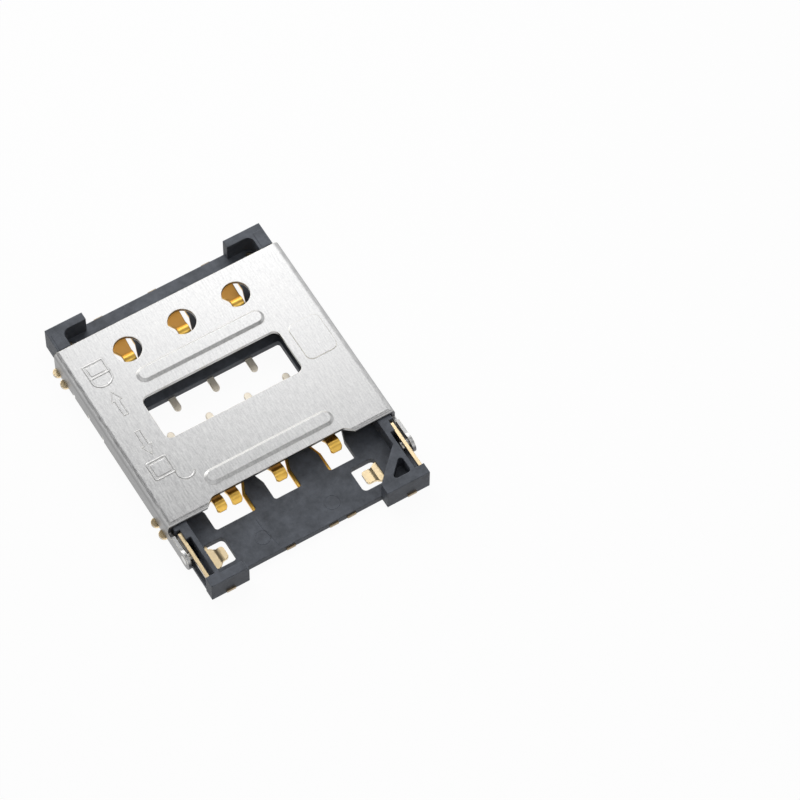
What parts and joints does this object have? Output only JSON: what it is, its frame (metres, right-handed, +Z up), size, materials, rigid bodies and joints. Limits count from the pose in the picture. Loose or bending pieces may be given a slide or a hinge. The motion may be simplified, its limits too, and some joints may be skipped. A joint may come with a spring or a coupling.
{
  "type": "sim card socket",
  "caption": "Low board-mounted socket for a small card: moulded housing, spring contacts and a metal lid that slides to unlock and then swings open.",
  "frame": {"origin": "centre of the housing's footprint, on the board plane under it", "axes": "+X across the three contact columns, +Y towards the end where the lid locks, with the hinge at -Y, +Z up from the board"},
  "size_m": [0.011, 0.0137, 0.0014],
  "materials": {
    "housing_plastic": "fine matte moulding, dark slate grey",
    "lid_steel": "satin sheet with faint brushing",
    "plated_frame": "pale gold plating",
    "gold_contact": "gold plating"
  },
  "bodies": {
    "housing": {"housing": "housing_plastic", "side_frame_left": "plated_frame", "side_frame_right": "plated_frame", "hinge_bridge_left": "plated_frame", "hinge_bridge_right": "plated_frame", "contact_far_left": "gold_contact", "contact_far_middle": "gold_contact", "contact_far_right": "gold_contact", "contact_near_left": "gold_contact", "contact_near_middle": "gold_contact", "contact_near_right": "gold_contact", "card_switch_contact": "gold_contact"},
    "hinge_pins": {"hinge_pin_left": "lid_steel", "hinge_pin_right": "lid_steel"},
    "lid": {"lid": "lid_steel"}
  },
  "joints": [
    {"name": "unlock_slide", "type": "slide", "parent": "housing", "child": "hinge_pins", "axis": [0, -1, 0], "range_m": [0, 0.00115]},
    {"name": "lid_hinge", "type": "hinge", "parent": "hinge_pins", "child": "lid", "pos_m": [0, -0.00495, 0.0006], "axis": [1, 0, 0], "range_deg": [0, 110]}
  ]
}
